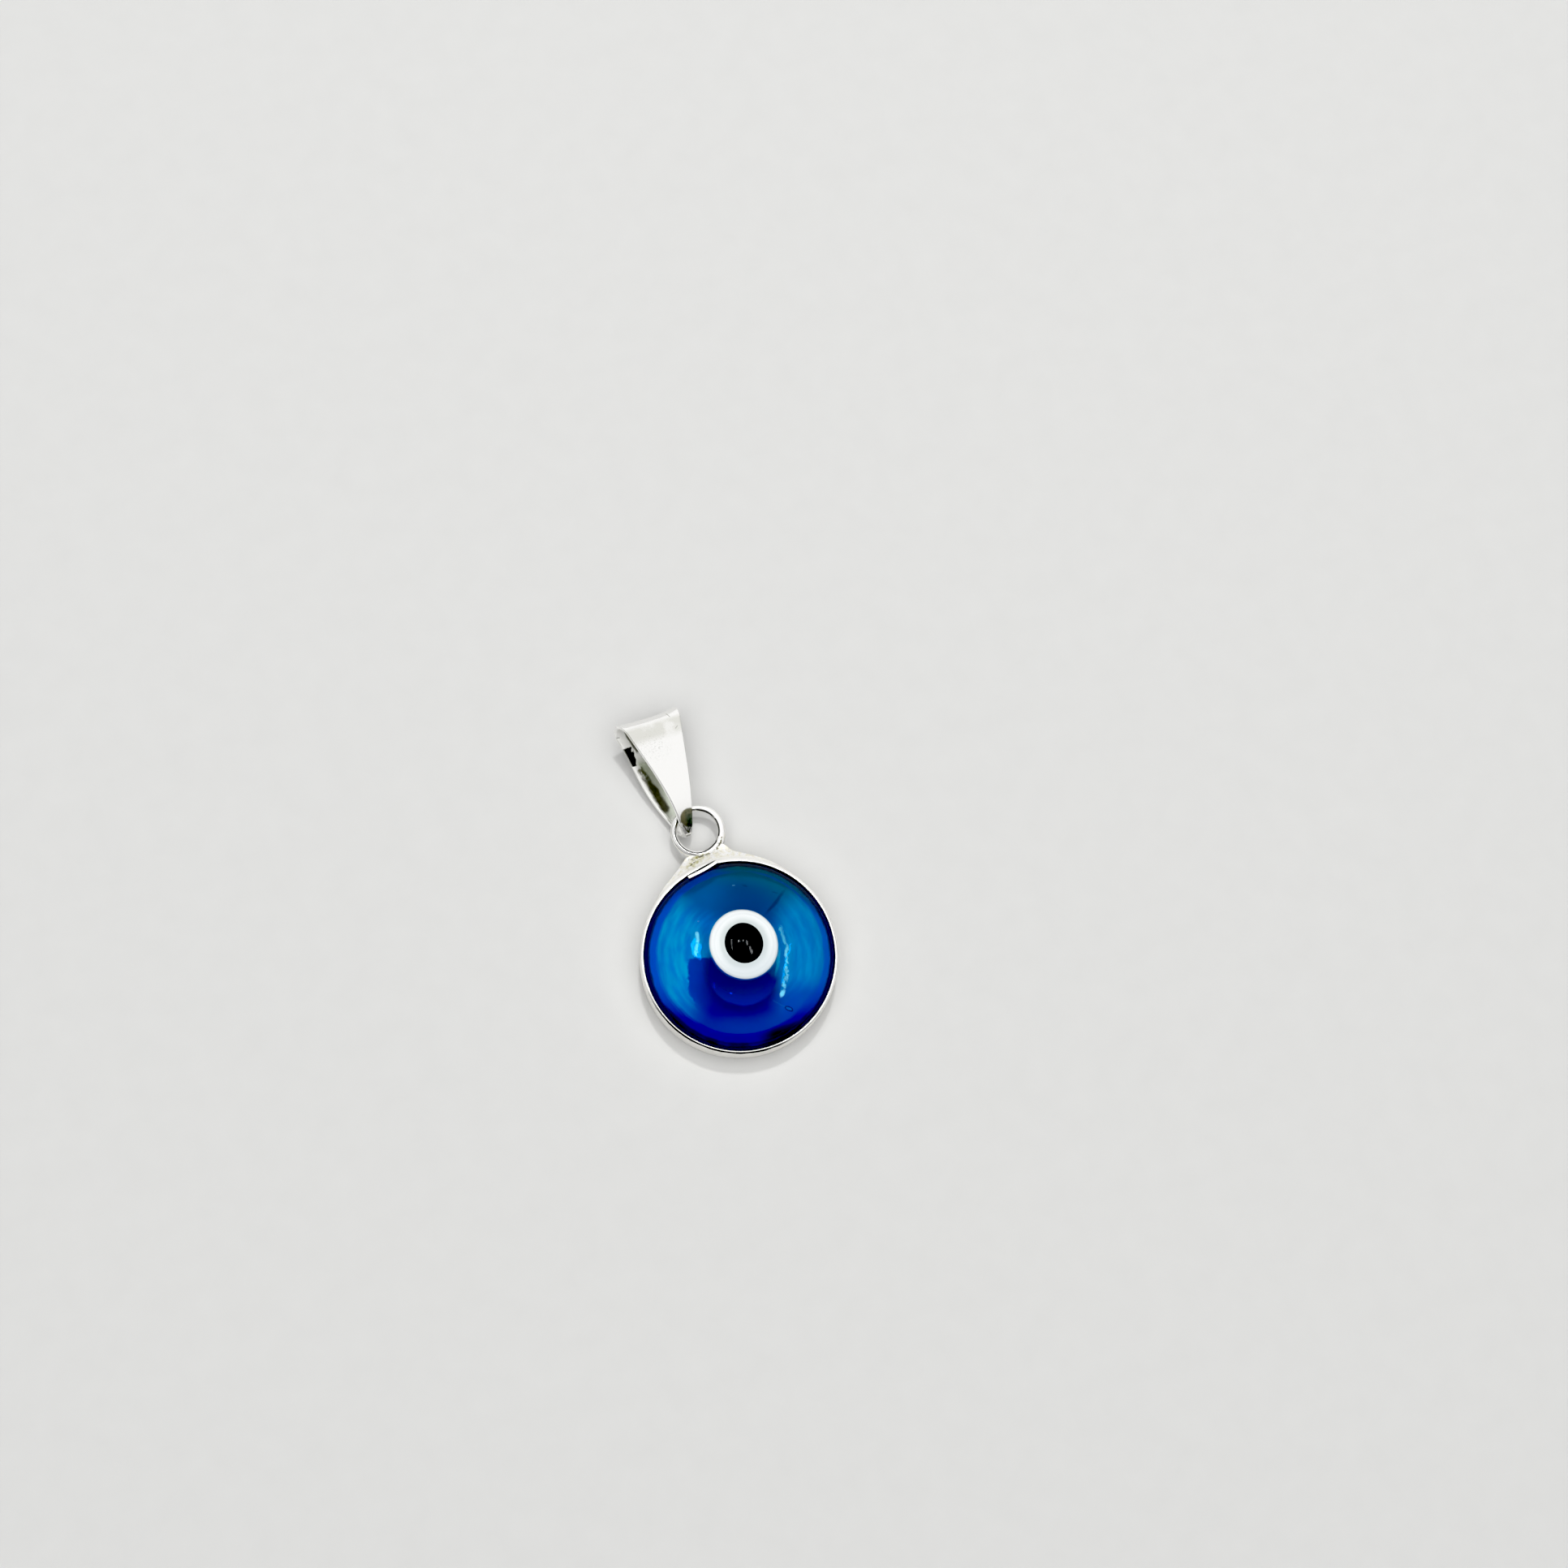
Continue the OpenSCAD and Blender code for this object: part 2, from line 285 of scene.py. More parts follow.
def spun(outline, steps, closed=False):
    """A half outline of radii and heights, turned round the upright axis in equal sectors and joined."""
    bm = bmesh.new()
    points = [bm.verts.new((r, 0.0, z)) for r, z in outline]
    edges = [bm.edges.new(pair) for pair in zip(points, points[1:])]
    if closed:
        edges.append(bm.edges.new((points[-1], points[0])))
    share = math.tau / SECTORS
    bmesh.ops.spin(bm, geom=points + edges, cent=(0, 0, 0), axis=(0, 0, 1), angle=share,
                   steps=steps // SECTORS, use_merge=False, use_duplicate=False)
    sector = bm.verts[:] + bm.edges[:] + bm.faces[:]
    for k in range(1, SECTORS):
        copied = bmesh.ops.duplicate(bm, geom=sector)["geom"]
        bmesh.ops.rotate(bm, cent=(0, 0, 0), matrix=Matrix.Rotation(k * share, 3, "Z"),
                         verts=[g for g in copied if isinstance(g, bmesh.types.BMVert)])
    bmesh.ops.remove_doubles(bm, verts=bm.verts, dist=1e-4)
    bmesh.ops.recalc_face_normals(bm, faces=bm.faces)
    return bm


def piece(name, bm, recipe, replaced=None):
    """Makes the finished mesh a piece of the pendant, in metres in the part's frame."""
    bmesh.ops.scale(bm, vec=(MM, MM, MM), verts=bm.verts)
    mesh = bpy.data.meshes.new(name)
    bm.to_mesh(mesh)
    bm.free()
    mesh.shade_smooth()
    mesh.materials.append(recipe.owner)
    made = bpy.data.objects.new(name, mesh)
    bpy.context.scene.collection.objects.link(made)
    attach(made, "root")
    if replaced:
        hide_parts(replaced)
    return made


def dome_outline(radius, top, bottom, dome, edge, back, back_steps=4, dome_steps=40):
    """Half outline of a domed disc, from the middle of its back to the middle of its top."""
    middle = top - dome
    inner = dome - edge
    turn = math.asin((radius - edge) / inner)
    edge_c = (inner * math.sin(turn), middle + inner * math.cos(turn))
    turn = math.degrees(turn)
    back_c = (radius - back, bottom + back)
    return ([(0.0, bottom)] + line((0.0, bottom), (radius - back, bottom), back_steps)
            + arc(back_c, back, -90, 0, 8)
            + arc(edge_c, edge, 0, 90 - turn, 14)
            + arc((0.0, middle), dome, 90 - turn, 90, dome_steps)[1:])


def at_eye():
    """Where the eye sits, square to the dome."""
    dome_c = Vector((0, 0, GLASS_TOP - DOME_R))
    turn_x, turn_y = -math.asin(EYE_Y / DOME_R), math.asin(EYE_X / DOME_R)
    turned = Matrix.Rotation(turn_y, 4, "Y") @ Matrix.Rotation(turn_x, 4, "X")
    return (Matrix.Translation((0, DISC_Y, 0)) @ Matrix.Translation(dome_c) @ turned
            @ Matrix.Translation(-dome_c))


# Glass
def make_glass(recipe):
    """The blue disc: a clean dome, and a back that keeps the hollows of the mould."""
    bm = spun(dome_outline(GLASS_R, GLASS_TOP, 0.0, DOME_R, SHOULDER_R, BACK_EDGE_R, 30, 44), 256)
    for v in bm.verts:
        x, y, z = v.co
        r = math.hypot(x, y)
        if z < 0.001:
            hollow = 0.5 + 0.5 * ripple(x, y, 0, 0.5, 3.1)
            lump = 0.5 + 0.5 * ripple(x, y, 0, 1.5, 8.4)
            v.co.z = (HOLLOW_DEPTH * hollow + LUMP_DEPTH * lump) * ease(GLASS_R - BACK_EDGE_R - r, 0.0, 1.2)
        elif z > DOME_FROM:
            v.co.z += DOME_WAVE * ripple(x, y, 0, 0.55, 5.5)
    bmesh.ops.translate(bm, vec=(0, DISC_Y, 0), verts=bm.verts)
    return piece("glass_disc", bm, recipe, "glass")


def make_drop(name, recipe, replaced, radius, top, bottom, dome, edge, grow, lift):
    """One drop of melted glass, pressed square to the dome, with a wavy rim and faint rings on its top."""
    bm = spun(dome_outline(radius, top, bottom, dome, edge, edge / 2), 192)
    for v in bm.verts:
        x, y, z = v.co
        r, turn = math.hypot(x, y), math.atan2(y, x)
        push = 1 + DROP_WAVE * ripple(math.cos(turn), math.sin(turn), 0, 1.6, radius)
        across, along = (Vector((x, y, 0)).dot(way) * push for way in (FLAT_RIGHT, FLAT_UP))
        v.co = FLAT_RIGHT * across * grow[0] + FLAT_UP * (along * grow[1] + lift) + Vector((0, 0, z))
        if z > top - 0.6:
            v.co.z += DROP_RINGS * math.cos(r * 7.0) * ease(r, 0.3, 1.2)
    bmesh.ops.transform(bm, matrix=at_eye(), verts=bm.verts)
    return piece(name, bm, recipe, replaced)


# Silver
def bezel_outline():
    """Section of the strip: back lip, outer wall, front lip, and the inside that follows the glass."""
    turn = math.asin((GLASS_R - SHOULDER_R) / (DOME_R - SHOULDER_R))
    shoulder = (GLASS_R - SHOULDER_R, GLASS_TOP - DOME_R + (DOME_R - SHOULDER_R) * math.cos(turn))
    grown = SHOULDER_R + SETTING_GAP
    under = (GLASS_R - BACK_EDGE_R, BACK_EDGE_R)
    grown_back = BACK_EDGE_R + SETTING_GAP
    lip_turn = math.degrees(math.acos((LIP_R - shoulder[0]) / grown))
    back_turn = math.degrees(math.acos((LIP_R - under[0]) / grown_back))
    corner_x = BEZEL_R - BEZEL_CORNER_R
    low, high = BEZEL_LIFT + BEZEL_CORNER_R, BEZEL_TOP - BEZEL_CORNER_R
    return ([(LIP_R, BEZEL_LIFT)]
            + arc((corner_x, low), BEZEL_CORNER_R, -90, 0, 8)
            + line((BEZEL_R, low), (BEZEL_R, high), 34)
            + arc((corner_x, high), BEZEL_CORNER_R, 0, 90, 10)
            + arc((LIP_R + LIP_EDGE_R, BEZEL_TOP - LIP_EDGE_R), LIP_EDGE_R, 90, 180, 4)
            + arc(shoulder, grown, lip_turn, 0, 5)
            + arc(under, grown_back, 0, -back_turn, 5))


# How far the solder stands out from the wall, by the turn round the disc from the ring's side
SOLDER_LEFT = [(0, 0.84), (6.5, 1.0), (9.5, 1.0), (12, 0.78), (16, 0.57), (22, 0.34), (30, 0.19),
               (38, 0.09), (45, 0.03), (52, 0.0)]
SOLDER_RIGHT = [(0, 0.84), (6.5, 1.0), (9.0, 1.12), (11.0, 1.24), (13, 0.86), (16, 0.58),
                (22, 0.40), (30, 0.27), (38, 0.18), (46, 0.12), (55, 0.07), (66, 0.0)]
# Half its height at the wall and at its crest, how far out it has that height, and the crest's share of it
SOLDER_ROOT, SOLDER_CREST, SOLDER_FULL, CREST_SHARE = 0.9, 0.2, 0.83, 0.26


@functools.cache
def solder_reach(turn):
    """How far the solder stands out at a whole half degree round the disc, as a soft run of the stops."""
    stops = SOLDER_LEFT if turn < 0 else SOLDER_RIGHT
    return sum(through(stops, abs(turn) + 0.5 * k) for k in range(-3, 4)) / 7


def solder_height(share, reach):
    """Half the solder's height at a share of the way out from the wall."""
    return SOLDER_ROOT + (SOLDER_CREST - SOLDER_ROOT) * min(1, share * reach / SOLDER_FULL) ** 0.8


def make_bezel(recipe):
    """The strip round the glass with its solder, its loose end and the jump ring, as one piece."""
    bm = spun(bezel_outline(), 720, closed=True)
    for v in bm.verts:
        x, y, z = v.co
        r, turn = math.hypot(x, y), math.degrees(math.atan2(x, y))
        out = ease(r, BEZEL_R - BEZEL_CORNER_R, BEZEL_R - 0.04)
        reach = solder_reach(round(turn * 2) / 2)
        t = (z - RING_Z) / SOLDER_ROOT
        new_r, new_z = r, z
        if out > 0.99 and abs(t) < 1 and reach > 0:
            if abs(t) > CREST_SHARE:
                share = ease(1 - abs(t), 0.0, 1 - CREST_SHARE) ** 0.9
                height = solder_height(share, reach)
            else:
                share = 1 + 0.05 * (1 - (t / CREST_SHARE) ** 2)
                height = solder_height(1, reach) * abs(t) / CREST_SHARE
            mixed = ease(reach, 0.0, 0.22)
            new_r = BEZEL_R + reach * share
            new_z = z + (RING_Z + math.copysign(height, t) - z) * mixed
            grain = ease(reach, 0.02, 0.2)
            new_r += grain * (0.02 * ripple(x, y, new_z, 2.6, 1.3) + 0.008 * ripple(x, y, new_z, 9, 4.4))
            new_z += grain * 0.015 * ripple(new_r * x / r, new_r * y / r, new_z, 4.0, 6.1)
        if z > BEZEL_TOP - 0.25:
            edge = ease(z, BEZEL_TOP - 0.25, BEZEL_TOP - 0.05)
            inner = 1 - ease(r, LIP_R, BEZEL_R - 0.08)
            new_r += edge * inner * (0.018 * ripple(x, y, 0, 1.3, 2.2) + 0.012 * ripple(x, y, 0, 4.5, 7.7))
            new_z += edge * (0.012 * ripple(x, y, 0, 0.9, 9.1) + 0.006 * ripple(x, y, 0, 4.0, 3.3))
        v.co.x, v.co.y, v.co.z = x * new_r / r, y * new_r / r, new_z
    add_ring(bm)
    add_loose_end(bm)
    bmesh.ops.translate(bm, vec=(0, DISC_Y, 0), verts=bm.verts)
    return piece("silver_bezel", bm, recipe, "bezel")


def add_ring(bm):
    """The jump ring: an oval wire, a little uneven, with the seam where its ends were soldered."""
    ring = bmesh.new()
    section = [ring.verts.new((RING_WIRE_R + WIRE_W / 2 * c, 0, WIRE_H / 2 * s))
               for c, s in ((math.cos(math.tau * i / 32), math.sin(math.tau * i / 32)) for i in range(32))]
    edges = [ring.edges.new((section[i - 1], section[i])) for i in range(32)]
    bmesh.ops.spin(ring, geom=section + edges, cent=(0, 0, 0), axis=(0, 0, 1), angle=math.tau,
                   steps=240, use_merge=True, use_duplicate=False)
    bmesh.ops.remove_doubles(ring, verts=ring.verts, dist=1e-5)
    bmesh.ops.recalc_face_normals(ring, faces=ring.faces)
    for v in ring.verts:
        x, y, z = v.co
        r, turn = math.hypot(x, y), math.degrees(math.atan2(y, x))
        middle = Vector((x, y, 0)) * (RING_WIRE_R / r)
        off = Vector((x, y, z)) - middle
        away = abs((turn - RING_SEAM_AT + 180) % 360 - 180)
        seam = 1 - RING_SEAM_DEPTH * (1 - ease(away, 0.8, RING_SEAM_HALF))
        swell = 1 + 0.22 * ease(x, 0.6, 1.5) + 0.1 * ease(-x, 0.6, 1.5) + 0.2 * ease(-y, 0.5, 1.3)
        off = Vector((off.x * swell, off.y * swell, off.z * (1 + 0.3 * (swell - 1)))) * seam
        v.co = middle + off
        v.co += off.normalized() * 0.006 * ripple(x, y, z, 1.8, 5.2)
    bmesh.ops.translate(ring, vec=(RING_X, RING_Y, RING_Z), verts=ring.verts)
    join(bm, ring)


def add_loose_end(bm):
    """The end of the strip, which stands over the edge of the glass; the dark slit behind it is a painted
    shadow on the lip.
    """
    tab = bmesh.new()
    top, depth = BEZEL_TOP + TAB_RISE, TAB_RISE + BEZEL_CORNER_R
    bmesh.ops.create_cube(tab, size=1.0)
    bmesh.ops.scale(tab, vec=(TAB_L, TAB_W, depth), verts=tab.verts)
    bmesh.ops.translate(tab, vec=(-TAB_L / 2, 0, depth / 2), verts=tab.verts)
    long_edges = [e for e in tab.edges if abs(e.verts[0].co.x - e.verts[1].co.x) > TAB_L / 2]
    bmesh.ops.subdivide_edges(tab, edges=long_edges, cuts=15, use_grid_fill=True)
    bmesh.ops.bevel(tab, geom=[e for e in tab.edges if e.calc_face_angle(0) > 1], affect="EDGES",
                    offset=TAB_EDGE_R, segments=3, profile=0.5, material=-1)
    for v in tab.verts:
        along = -v.co.x / TAB_L
        v.co.y -= TAB_BOW * math.sin(math.pi * min(1, along))
        v.co.y += 0.008 * ripple(v.co.x, 0, 0, 2.0, 1.1)
        v.co.z -= TAB_DIP * (1 - along) ** 2
    bend, round_disc = (Matrix.Rotation(math.radians(a), 3, "Z") for a in (TAB_BEND, -TAB_AT))
    bmesh.ops.rotate(tab, cent=(0, 0, 0), matrix=bend, verts=tab.verts)
    bmesh.ops.translate(tab, vec=(0, LIP_R + TAB_W / 2, top - depth), verts=tab.verts)
    bmesh.ops.rotate(tab, cent=(0, 0, 0), matrix=round_disc, verts=tab.verts)
    join(bm, tab)


def join(bm, other):
    """Adds another shape's faces to bm."""
    carried = bpy.data.meshes.new("carried")
    other.to_mesh(carried)
    other.free()
    bm.from_mesh(carried)
    bpy.data.meshes.remove(carried)


def bail_outline(inset):
    """Side outline of the folded sheet, from its tip round to its tip again."""
    tip_c, fold_c = (TIP_R, 0.0), (BAIL_L - FOLD_R, 0.0)
    tip_a, fold_a = 90 + TIP_SLOPE, 90 - FOLD_SLOPE
    a, b = (Vector((c[0] + (r - inset) * math.cos(turn), (r - inset) * math.sin(turn)))
            for c, r, turn in zip((tip_c, fold_c), (TIP_R, FOLD_R), radians(tip_a, fold_a)))
    reach = BAIL_L * 0.35  # of the curve's handles, as in the part's source
    tip_s, fold_s = math.radians(TIP_SLOPE), math.radians(FOLD_SLOPE)
    p = [a, a + reach * Vector((math.cos(tip_s), math.sin(tip_s))),
         b - reach * Vector((math.cos(fold_s), -math.sin(fold_s))), b]
    steps = 40
    side = []
    for i in range(1, steps):
        t = i / steps
        side.append(tuple((1 - t) ** 3 * p[0] + 3 * t * (1 - t) ** 2 * p[1]
                          + 3 * t * t * (1 - t) * p[2] + t ** 3 * p[3]))
    return (arc(tip_c, TIP_R - inset, 360 - tip_a, tip_a, 24) + side
            + arc(fold_c, FOLD_R - inset, fold_a, -fold_a, 32)
            + [(s, -h) for s, h in reversed(side)])


def bail_half_width(s):
    """Half the sheet's width at s, the way from its tip towards its fold."""
    return (TIP_W + (FOLD_W - TIP_W) * (max(0.0, s) / BAIL_L) ** FLARE) / 2


def bail_place():
    """Where the bail lies: its tip on the ring's wire and its right edge on the surface."""
    turn, pitch, roll = (Matrix.Rotation(math.radians(angle), 4, axis)
                         for angle, axis in ((BAIL_TURN, "Z"), (BAIL_PITCH, "X"), (BAIL_ROLL, "Y")))
    return Matrix.Translation((BAIL_X, DISC_Y + RING_Y - TIP_DROP, TIP_Z)) @ turn @ pitch @ roll


def make_bail(recipe):
    """The tapered sheet, folded over at the top and closed at the tip."""
    bm = bmesh.new()
    inside = bm.verts.layers.float.new("inside")
    rims = []
    for inset in (0.0, SHEET_T):
        points = [bm.verts.new((0.0, s, h)) for s, h in bail_outline(inset)]
        for point in points:
            point[inside] = inset / SHEET_T
        rims.append([bm.edges.new((points[i - 1], points[i])) for i in range(len(points))])
    bmesh.ops.bridge_loops(bm, edges=rims[0] + rims[1])
    bmesh.ops.translate(bm, vec=(-1, 0, 0), verts=bm.verts)
    across = 24
    front = list(bm.faces)
    for _ in range(across):
        grown = bmesh.ops.extrude_face_region(bm, geom=front)
        front = [g for g in grown["geom"] if isinstance(g, bmesh.types.BMFace)]
        bmesh.ops.translate(bm, vec=(2 / across, 0, 0),
                            verts=[g for g in grown["geom"] if isinstance(g, bmesh.types.BMVert)])
    # Every step leaves the face that it grew from, so the inner ones go
    inner = [f for f in bm.faces if abs(f.normal.x) > 0.9 and abs(abs(f.calc_center_median().x) - 1) > 1e-4]
    bmesh.ops.delete(bm, geom=inner, context="FACES_ONLY")
    for v in bm.verts:
        u, s, _ = v.co
        half = bail_half_width(s)
        rounded = math.sqrt(max(0.0, 1 - max(0.0, (TIP_ROUND - s) / TIP_ROUND) ** 2))
        v.co.x = u * half * max(0.4, rounded)
    bmesh.ops.recalc_face_normals(bm, faces=bm.faces)
    rim_edges = [e for e in bm.edges if len(e.link_faces) == 2 and e.calc_face_angle(0) > 1.0]
    bmesh.ops.bevel(bm, geom=rim_edges, affect="EDGES", offset=SHEET_EDGE_R, segments=3, profile=0.5,
                    material=-1)
    for v in bm.verts:
        x, s, h = v.co
        half = bail_half_width(s)
        u = x / half
        fold = ease(s, BAIL_L - 2.2, BAIL_L - 0.1)
        v.co.y += (FOLD_LIFT * max(0.0, u) ** 4 - FOLD_DIP * (1 - u * u)) * fold * fold
        v.co.z += 0.012 * ripple(x, s, 0, 0.5, 4.2)
        if h < 0 and u < 0:
            v.co.x += BACK_BULGE * u * math.sin(math.pi * min(1.0, max(0.0, s / BULGE_L))) ** 2
    bmesh.ops.transform(bm, matrix=bail_place(), verts=bm.verts)
    return piece("silver_bail", bm, recipe, "bail")


# Finishes

# The glass's colours are laid out as the picture shows them, so its patterns are turned to the picture
PICTURE_TURN = math.degrees(math.atan2(PICTURE_UP.x, PICTURE_UP.y))


def glass_blues(r, u, v):
    """The lighter blues, which are greener towards the picture's top, with painted light at the left and
    right of the eye.
    """
    tint = r.mix(v.step(0.8, 5.0), (0.0, 0.15, 0.68), (0.012, 0.33, 0.42))
    tint = r.mix(r.oval(u, v, (-0.2, 3.3), (3.0, 1.9), 1.2) * 0.85, tint, (0.0, 0.11, 0.42))
    tint = r.mix(r.oval(u, v, (-3.2, 3.7), (2.2, 2.0), 1.3) * 0.8, tint, (0.0, 0.25, 0.64))
    # Painted light gathers at the left and right of the eye
    arcs = r.value("ShaderNodeCombineXYZ", None, {0: (u * u + v * v) ** 0.5 * 2.6, 1: v * 0.45, 2: u * 0.2})
    painted_streak = r.speckle(arcs.socket, 1.0, 5.0, 0.62)
    bright = painted_streak.step(0.34, 0.68)
    left_glow = r.oval(u, v, (-4.1, -0.4), (1.75, 3.9), 0.75, 4.0)
    right_glow = r.oval(u, v, (4.0, 0.1), (1.9, 3.9), 0.8, -4.0)
    near_left = r.oval(u, v, (-2.6, 0.9), (1.9, 1.7), 0.9)
    tint = r.mix(near_left, tint, r.mix(bright, (0.0, 0.26, 0.78), (0.0, 0.38, 0.92)))
    tint = r.mix(left_glow, tint, r.mix(bright, (0.0, 0.36, 0.90), (0.03, 0.70, 1.0)))
    tint = r.mix(right_glow * 0.95, tint, r.mix(bright, (0.0, 0.38, 0.84), (0.02, 0.56, 0.95)))
    return r.mix(r.oval(u, v, (4.2, -3.6), (1.7, 1.6), 1.0) * 0.8, tint, (0.0, 0.11, 0.72))


def glass_below_eye(r, spot, u, v, tint):
    """The deep blue below the eye, painted shade with a sharp edge towards the lighter part, and the eye's
    painted shadow.
    """
    ragged = (r.speckle(spot, 2.6, 4.0, 0.6) - 0.5) * 0.55
    top_edge = v + ragged + u.step(0.3, 2.4) * 1.3
    left_edge = u + ragged + v.step(-2.2, -4.4) * -0.9
    edge_soft = v.step(-2.2, -4.2)
    deep_shade = (top_edge.step(-0.30, -0.42) * left_edge.step(-3.48, -3.36) * (1 - edge_soft)
            + left_edge.step(-4.6, -2.6) * edge_soft) * u.step(2.7, 1.2) * v.step(-5.6, -3.6)
    tint = r.mix(deep_shade.clamped(), tint, r.mix(u.step(-3.4, -1.2), (0.0, 0.09, 0.66), (0.0, 0.02, 0.52)))
    tint = r.mix(r.oval(u, v, (0.9, -4.7), (2.5, 0.8), 1.2) * 0.7, tint, (0.0, 0.16, 0.70))
    # Painted shade in a dark crescent, then the eye's painted shadow, lighter at its lower part
    tint = r.mix(r.oval(u, v, (0.1, -2.5), (2.5, 1.8), 0.8) * 0.85, tint, (0.0, 0.01, 0.38))
    painted_shade = r.oval(u, v, (0.16, -1.33), (2.23, 2.16), 0.08)
    return r.mix(painted_shade * top_edge.step(-0.2, -0.6), tint,
                 r.mix(v.step(-1.8, -3.5), (0.0, 0.022, 0.57), (0.0, 0.07, 0.76)))


def glass_edge(r, u, v, back, tint):
    """The thin edge of the disc: cobalt at the left and below, a painted green highlight at the top, then
    nearly black painted shade under the silver, with a painted dark wedge at the lower right.
    """
    around = ((u / 5.88) ** 2.0 + ((v + 0.08) / 5.92) ** 2.0) ** 0.5
    left, right, low = u.step(0.5, -2.5), u.step(-0.5, 2.5), v.step(-1.5, -4.5)
    band = around.step(0.885, 0.905) * low + around.step(0.92, 0.94) * left
    band = band + around.step(0.93, 0.95) * right * 0.7
    tint = r.mix(band.clamped(), tint, r.mix(low, (0.02, 0.18, 0.92), (0.0, 0.03, 0.62)))
    green_edge_highlight = around.step(0.955, 0.97) * v.step(2.5, 4.5) * u.step(-2.5, 0.5)
    tint = r.mix(green_edge_highlight * 0.7, tint, (0.03, 0.36, 0.38))
    shaded_wedge = ((u - 1.57) * 0.312 - (v + 5.20) * 0.95).step(-0.1, 0.16) * u.step(0.9, 2.2)
    shaded_border = (around - back * (0.025 + left * 0.03) * (1 - low)).step(0.986, 1.008)
    tint = r.mix(shaded_wedge * (1 - shaded_border), tint, (0.01, 0.01, 0.05))
    return r.mix(shaded_border, tint, (0.002, 0.006, 0.030))


BUBBLE_AT, BUBBLE_TURN = (3.12, -3.64), -25.0


def glass_faults(r, u, v, back, in_bubble, tint):
    """Small faults on the dome: a crease, the dark ring round a bubble, and a smudge."""
    crease = (r.oval(u, v, (2.35, 3.38), (0.95, 0.13), 1.0, 54.0)
              + r.stroke(u, v, (2.2, 4.12), (2.5, 4.0), 0.07) * 0.6)
    ring = r.oval(u, v, BUBBLE_AT, (0.3, 0.15), 0.3, BUBBLE_TURN) * (1 - in_bubble)
    smudge = r.oval(u, v, (0.38, 4.45), (0.2, 0.07), 0.6, -15.0) * 0.5
    faults = (crease * 0.8 + ring + smudge).clamped() * (1 - back)
    return r.mix(faults, tint, (0.0, 0.004, 0.10))


def glass_bead_highlights(r, spot, u, v, back, in_bubble, tint):
    """The mould's hollows behind catch the lamps down the left and the right of the eye, and painted
    highlights lie over them in beads. The painted beads are brighter than the board behind them could make
    them, so this gives the tint and a weak painted glow of their own."""
    beads = r.speckle(r.place(shift=(2, 7, 0), stretch=(1.0, 0.7, 1.0)), 3.4, 2.0, 0.6).step(0.42, 0.52)
    shift = (r.speckle(spot, 1.7, 3.0) - 0.5) * 0.3
    left_lump = r.stroke(u + shift, v, (-2.82, 1.30), (-2.91, -0.12), 0.14)
    right_lump = (r.stroke(u + shift, v, (2.62, 1.7), (3.04, 0.2), 0.14)
                  + r.stroke(u + shift, v, (3.04, 0.2), (2.98, -1.4), 0.17)
                  + r.stroke(u + shift, v, (2.98, -1.4), (2.72, -2.7), 0.20)).clamped()
    # Painted highlight along the rows, on the back
    tint = r.mix((left_lump + right_lump).clamped() * back, tint, (0.22, 0.72, 1.0))
    # A thin painted highlight at the eye's right
    sliver_highlight = r.oval(u, v, (2.44, -0.62), (0.75, 0.10), 1.0, 80.0)
    tint = r.mix(sliver_highlight, tint, (0.10, 0.72, 1.0))
    # The lightest painted highlights: at the ends of the left and right rows, and in the middle of the right
    # one
    highlight_spots = (r.oval(u + shift * 0.4, v, (2.73, -2.66), (0.13, 0.26), 0.7, -24.0)
             + r.oval(u + shift, v, (-2.80, 1.02), (0.07, 0.34), 0.8)
             + r.oval(u + shift, v, (3.02, 0.1), (0.08, 0.45), 0.8) * 0.8)
    tint = r.mix(highlight_spots.clamped(), tint, (0.50, 0.78, 1.0))
    # Light specks; the one at the top is a painted highlight of a lamp
    specks = (r.oval(u, v, (-0.37, 4.51), (0.1, 0.05), 0.8)
              + r.oval(u, v, (-2.69, 2.1), (0.08, 0.05), 0.8) * 0.5
              + r.stroke(u, v, (2.11, -3.09), (2.85, -3.5), 0.06) * 0.16)
    # Painted highlights in beads on the dome's skin, with the specks and the lighter inside of the bubble
    light = (left_lump * beads + right_lump * beads * 0.85 + in_bubble * 0.35 + specks) * (1 - back)
    tint = r.mix(light.clamped(), tint, (0.95, 0.92, 1.0))
    # A weak painted glow in the beads and the lightest spots
    broken = r.speckle(spot, 6.5, 3.0, 0.6).step(0.42, 0.56) * 0.7 + 0.3
    lower_right = right_lump * (v.step(1.6, -1.8) * 0.6 + 0.25)
    painted_glint = ((left_lump + lower_right) * beads * broken + highlight_spots * 0.6).clamped() * (1 - back)
    return tint, r.mix(painted_glint, (0.0, 0.0, 0.0), (0.26, 0.62, 0.68))


